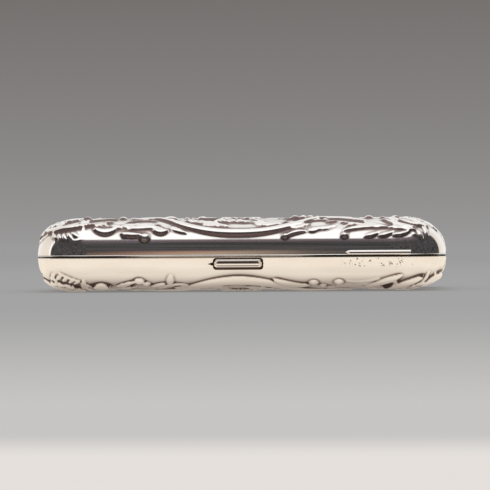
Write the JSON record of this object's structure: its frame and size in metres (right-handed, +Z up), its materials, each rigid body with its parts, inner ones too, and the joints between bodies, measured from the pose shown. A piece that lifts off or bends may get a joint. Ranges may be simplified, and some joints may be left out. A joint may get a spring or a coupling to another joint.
{
  "type": "card case",
  "caption": "Slim hinged silver case with rounded edges and raised scroll relief, a push-button catch, and a silk-lined inside with ribbons and a leather pocket for cards.",
  "frame": {"origin": "middle of the case in plan, on the plane that the relief under the base stands on", "axes": "+X along the long side, -Y to the front where the button is, +Y to the hinge, +Z up through the lid"},
  "size_m": [0.1054, 0.0781, 0.0191],
  "materials": {
    "silver": "polished sterling silver with dark patina in the relief",
    "rim_silver": "bright polished silver",
    "gilt": "silver gilt, soft sheen",
    "steel": "hardened steel, plain",
    "brass": "plain brass",
    "lining_silk": "silk over stiff board",
    "pad_silk": "moire silk",
    "ribbon_silk": "ribbed silk ribbon",
    "pocket_leather": "fine-grained leather"
  },
  "bodies": {
    "base": {"base_shell": "silver", "base_rim": "rim_silver", "base_bezel": "gilt", "base_hinge_strip": "gilt", "base_knuckles": "rim_silver", "hinge_pin": "steel", "hinge_end_plugs": "rim_silver", "catch_housing": "gilt", "catch_spring": "steel", "spring_rivet": "brass", "base_liner_tray": "lining_silk", "base_pad": "pad_silk", "base_ribbons": "ribbon_silk", "ribbon_tabs": "gilt"},
    "lid": {"lid_shell": "silver", "lid_rim": "rim_silver", "lid_hinge_strip": "gilt", "lid_knuckles": "rim_silver", "catch_keeper": "gilt", "lid_liner_tray": "lining_silk", "lid_pad": "pad_silk", "lid_pocket": "pocket_leather", "pocket_binding": "ribbon_silk"},
    "catch": {"push_button": "rim_silver", "catch_plate": "gilt", "button_rivets": "brass"}
  },
  "joints": [
    {"name": "lid_hinge", "type": "hinge", "parent": "base", "child": "lid", "pos_m": [0, 0.0382, 0.009], "axis": [-1, 0, 0], "range_deg": [0, 170]},
    {"name": "button_press", "type": "slide", "parent": "base", "child": "catch", "axis": [0, 1, 0], "range_m": [0, 0.0008], "stiffness_N_per_m": 800, "springref_m": -0.0012, "deforming": ["catch_spring"]}
  ]
}
